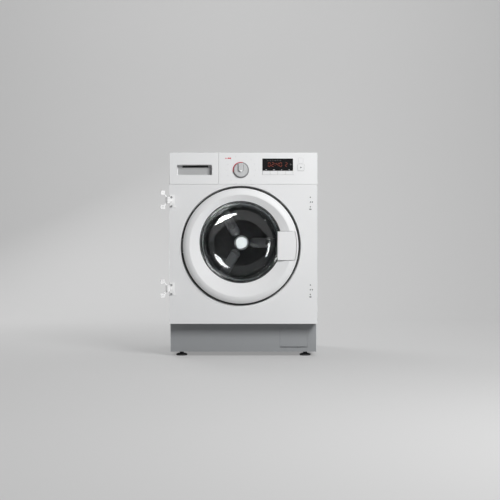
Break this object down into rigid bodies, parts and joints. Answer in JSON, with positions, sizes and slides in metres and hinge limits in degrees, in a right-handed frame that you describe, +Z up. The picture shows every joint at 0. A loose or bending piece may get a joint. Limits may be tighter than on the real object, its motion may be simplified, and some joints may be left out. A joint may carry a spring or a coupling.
{
  "type": "integrated washer dryer",
  "caption": "Built-in white front-loading washer dryer with a round glass bowl door, control band, detergent drawer and two hinges for a furniture door.",
  "frame": {"origin": "middle of the machine's outline on the floor", "axes": "+X to the right as seen by a user in front of it, +Y towards the wall, +Z up"},
  "size_m": [0.6273, 0.6166, 0.825],
  "materials": {
    "white_enamel": "satin white enamel on sheet steel",
    "white_moulding": "semi-gloss white moulding",
    "galvanised_sheet": "spangled zinc-coated sheet",
    "grey_moulding": "grained grey moulding",
    "display_black": "tinted gloss window",
    "board_green": "printed board",
    "dark_grey_plastic": "satin dark grey moulding",
    "knob_silver": "silver-grey satin finish",
    "pale_plastic": "natural moulding",
    "black_plastic": "satin black moulding",
    "zinc_steel": "bright zinc plate",
    "bearing_steel": "ground steel",
    "spring_steel": "oiled wire",
    "drum_steel": "polished stainless sheet",
    "cast_aluminium": "as cast",
    "motor_casing": "laminations and end shields",
    "tub_grey": "filled moulding",
    "concrete": "cast concrete",
    "grey_rubber": "soft grey elastomer",
    "black_rubber": "ribbed belt",
    "bowl_glass": "clear pressed glass",
    "foot_black": "moulded foot"
  },
  "bodies": {
    "cabinet": {"front_panel": "white_enamel", "side_panel_left": "galvanised_sheet", "side_panel_right": "galvanised_sheet", "rear_panel": "galvanised_sheet", "rear_cover": "galvanised_sheet", "top_cover": "galvanised_sheet", "base_tray": "grey_moulding", "control_fascia": "white_moulding", "display_window": "display_black", "control_board": "board_green", "dial_ring": "dark_grey_plastic", "dispenser_housing": "pale_plastic", "inlet_valve": "pale_plastic", "door_hinge_bracket": "zinc_steel", "door_lock": "black_plastic", "damper_cylinders": "black_plastic", "drain_pump": "pale_plastic", "furniture_hinge_bases": "zinc_steel", "hinge_screws": "zinc_steel"},
    "tub": {"tub_front": "tub_grey", "tub_rear": "tub_grey", "counterweight": "concrete", "drum_bearings": "bearing_steel", "motor": "motor_casing", "drive_belt": "black_rubber", "heating_element": "bearing_steel", "drying_duct": "cast_aluminium", "damper_rods": "zinc_steel", "suspension_springs": "spring_steel", "gasket": "grey_rubber"},
    "drum": {"drum_shell": "drum_steel", "drum_lifters": "white_moulding", "drum_hub_cap": "drum_steel", "drum_spider": "cast_aluminium", "drum_pulley": "cast_aluminium"},
    "motor_rotor": {"motor_pulley": "bearing_steel"},
    "fan": {"fan_wheel": "black_plastic"},
    "door": {"door_trim": "white_moulding", "door_rear_frame": "black_plastic", "door_glass": "bowl_glass", "door_hinge_leaf": "zinc_steel"},
    "handle": {"door_handle": "white_moulding"},
    "latch": {"latch_hook": "zinc_steel"},
    "drawer": {"drawer_front": "white_moulding", "drawer_tray": "pale_plastic"},
    "knob": {"program_knob": "knob_silver"},
    "key_1": {"option_key_1": "white_moulding"},
    "key_2": {"option_key_2": "white_moulding"},
    "key_3": {"option_key_3": "white_moulding"},
    "key_4": {"option_key_4": "white_moulding"},
    "start": {"start_button": "white_moulding"},
    "filter": {"pump_filter": "dark_grey_plastic"},
    "flap": {"filter_flap": "grey_moulding"},
    "hinge_wing_upper": {"furniture_hinge_upper": "zinc_steel"},
    "hinge_wing_lower": {"furniture_hinge_lower": "zinc_steel"},
    "foot_fl": {"foot_front_left": "foot_black"},
    "foot_fr": {"foot_front_right": "foot_black"},
    "foot_rl": {"foot_rear_left": "foot_black"},
    "foot_rr": {"foot_rear_right": "foot_black"}
  },
  "joints": [
    {"name": "tub_float", "type": "slide", "parent": "cabinet", "child": "tub", "axis": [0, 0, 1], "range_m": [-0.007, 0.007], "deforming": ["gasket", "suspension_springs"]},
    {"name": "drum_spin", "type": "hinge", "parent": "tub", "child": "drum", "pos_m": [0.0051, 0.0143, 0.465], "axis": [0, 1, 0], "continuous": true},
    {"name": "motor_spin", "type": "hinge", "parent": "tub", "child": "motor_rotor", "pos_m": [0.0706, 0.0143, 0.122], "axis": [0, 1, 0], "continuous": true},
    {"name": "fan_spin", "type": "hinge", "parent": "tub", "child": "fan", "pos_m": [0.1056, 0.1643, 0.742], "axis": [0, 0, 1], "continuous": true},
    {"name": "door_swing", "type": "hinge", "parent": "cabinet", "child": "door", "pos_m": [-0.2249, -0.2587, 0.4495], "axis": [0, 0, -1], "range_deg": [0, 95]},
    {"name": "handle_pull", "type": "hinge", "parent": "door", "child": "handle", "pos_m": [0.2196, -0.2677, 0.4495], "axis": [0, 0, 1], "range_deg": [0, 12], "stiffness_Nm_per_rad": 1.2, "springref_deg": -2.86},
    {"name": "latch_turn", "type": "hinge", "parent": "door", "child": "latch", "pos_m": [0.2216, -0.2532, 0.4495], "axis": [0, 0, 1], "range_deg": [0, 10]},
    {"name": "drawer_slide", "type": "slide", "parent": "cabinet", "child": "drawer", "axis": [0, -1, 0], "range_m": [0, 0.19]},
    {"name": "knob_turn", "type": "hinge", "parent": "cabinet", "child": "knob", "pos_m": [0.0059, -0.2557, 0.7546], "axis": [0, -1, 0], "continuous": true},
    {"name": "key_1_press", "type": "slide", "parent": "cabinet", "child": "key_1", "axis": [0, 1, 0], "range_m": [0, 0.002], "stiffness_N_per_m": 400, "springref_m": -0.001},
    {"name": "key_2_press", "type": "slide", "parent": "cabinet", "child": "key_2", "axis": [0, 1, 0], "range_m": [0, 0.002], "stiffness_N_per_m": 400, "springref_m": -0.001},
    {"name": "key_3_press", "type": "slide", "parent": "cabinet", "child": "key_3", "axis": [0, 1, 0], "range_m": [0, 0.002], "stiffness_N_per_m": 400, "springref_m": -0.001},
    {"name": "key_4_press", "type": "slide", "parent": "cabinet", "child": "key_4", "axis": [0, 1, 0], "range_m": [0, 0.002], "stiffness_N_per_m": 400, "springref_m": -0.001},
    {"name": "start_press", "type": "slide", "parent": "cabinet", "child": "start", "axis": [0, 1, 0], "range_m": [0, 0.002], "stiffness_N_per_m": 400, "springref_m": -0.001},
    {"name": "filter_unscrew", "type": "hinge", "parent": "cabinet", "child": "filter", "pos_m": [0.2206, -0.1757, 0.076], "axis": [0, -1, 0], "range_deg": [0, 120]},
    {"name": "flap_open", "type": "hinge", "parent": "cabinet", "child": "flap", "pos_m": [0.2206, -0.1907, 0.0415], "axis": [1, 0, 0], "range_deg": [0, 90]},
    {"name": "hinge_upper_swing", "type": "hinge", "parent": "cabinet", "child": "hinge_wing_upper", "pos_m": [-0.2854, -0.2817, 0.633], "axis": [0, 0, 1], "range_deg": [0, 129]},
    {"name": "hinge_lower_swing", "type": "hinge", "parent": "cabinet", "child": "hinge_wing_lower", "pos_m": [-0.2854, -0.2817, 0.28], "axis": [0, 0, 1], "range_deg": [0, 129]},
    {"name": "foot_fl_height", "type": "slide", "parent": "cabinet", "child": "foot_fl", "axis": [0, 0, -1], "range_m": [0, 0.02]},
    {"name": "foot_fr_height", "type": "slide", "parent": "cabinet", "child": "foot_fr", "axis": [0, 0, -1], "range_m": [0, 0.02]},
    {"name": "foot_rl_height", "type": "slide", "parent": "cabinet", "child": "foot_rl", "axis": [0, 0, -1], "range_m": [0, 0.02]},
    {"name": "foot_rr_height", "type": "slide", "parent": "cabinet", "child": "foot_rr", "axis": [0, 0, -1], "range_m": [0, 0.02]}
  ],
  "couplings": [
    {"joint": "motor_spin", "follows": "drum_spin", "ratio": 12.5},
    {"joint": "latch_turn", "follows": "handle_pull", "ratio": 0.8}
  ]
}
